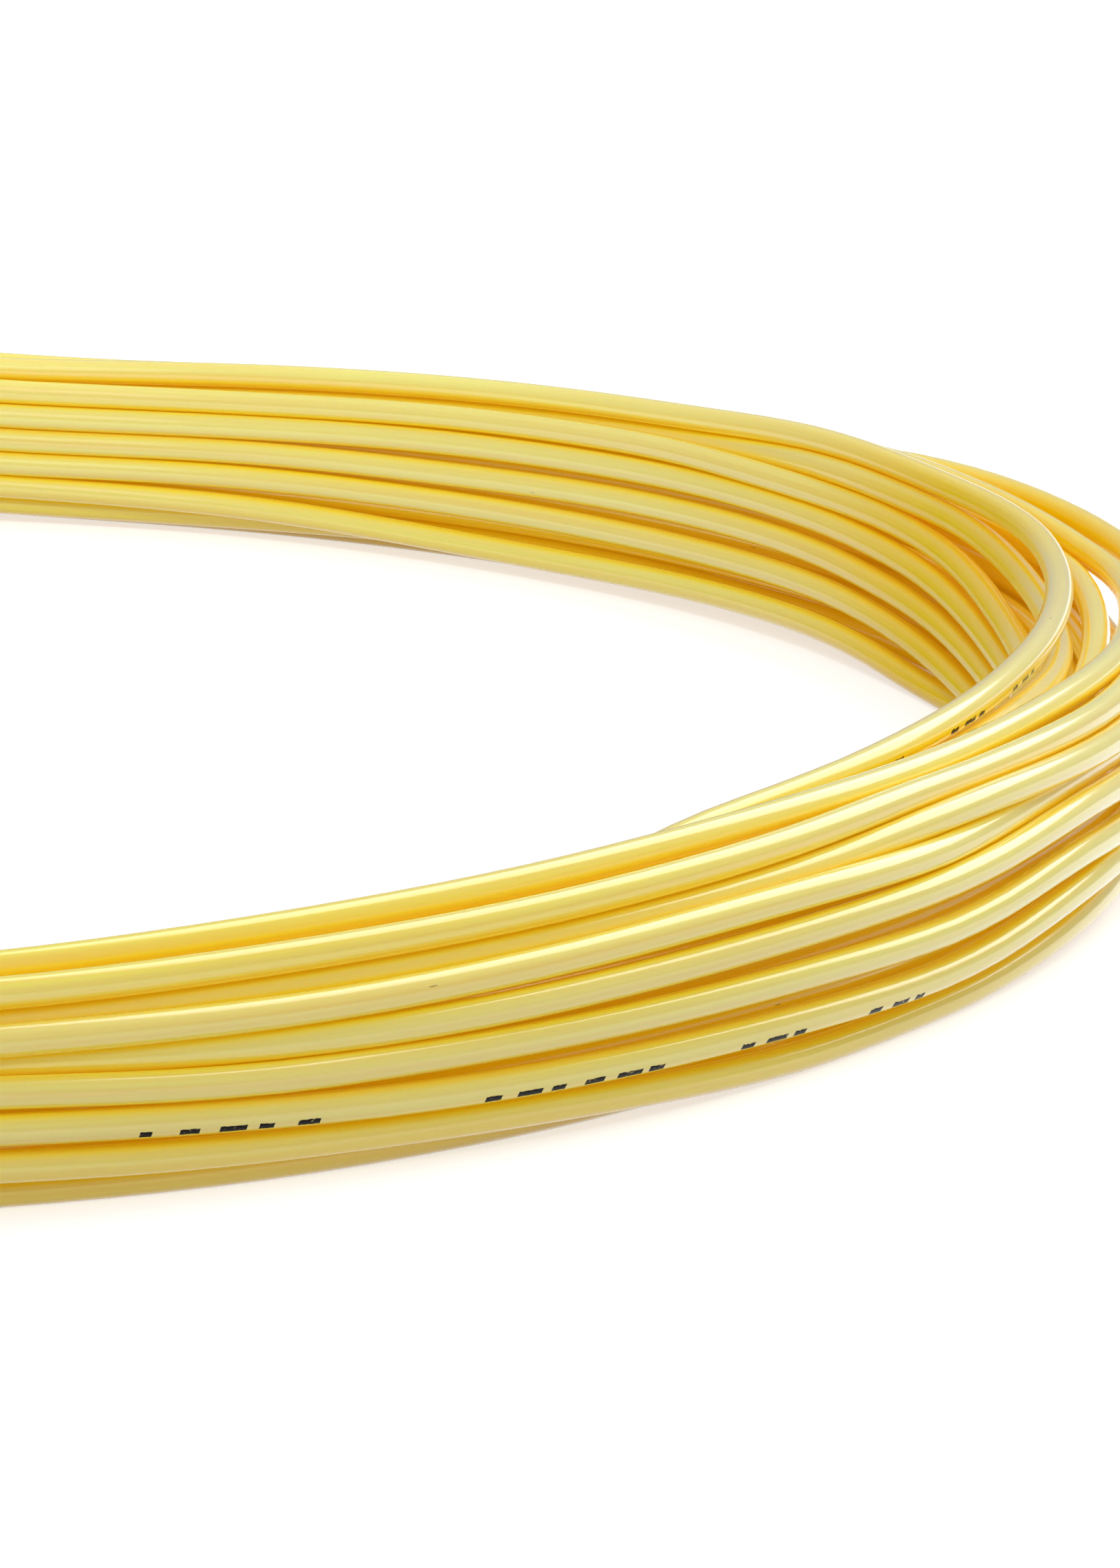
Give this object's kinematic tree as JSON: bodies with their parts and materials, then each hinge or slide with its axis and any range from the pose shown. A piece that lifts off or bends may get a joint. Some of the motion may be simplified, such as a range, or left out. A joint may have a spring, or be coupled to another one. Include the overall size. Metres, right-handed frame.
{
  "type": "racket string coil",
  "caption": "Coil of racket string wound in layers, held by two twist ties, with a short free end at each end of the winding.",
  "frame": {"origin": "middle of the part's outline in plan, on the surface that the coil lies on", "axes": "+Z along the coil's axis, away from the surface; +X towards the loose side of the coil, opposite the ties; +Y towards the back tie"},
  "size_m": [0.1398, 0.1586, 0.0117],
  "materials": {
    "string": "translucent, glossy",
    "tie_plastic": "satin",
    "tie_wire": "drawn"
  },
  "bodies": {
    "root": {"string_coil": "string", "inner_end": "string", "outer_end": "string", "front_tie_strip": "tie_plastic", "front_tie_wire": "tie_wire", "back_tie_strip": "tie_plastic", "back_tie_wire": "tie_wire"}
  },
  "joints": []
}
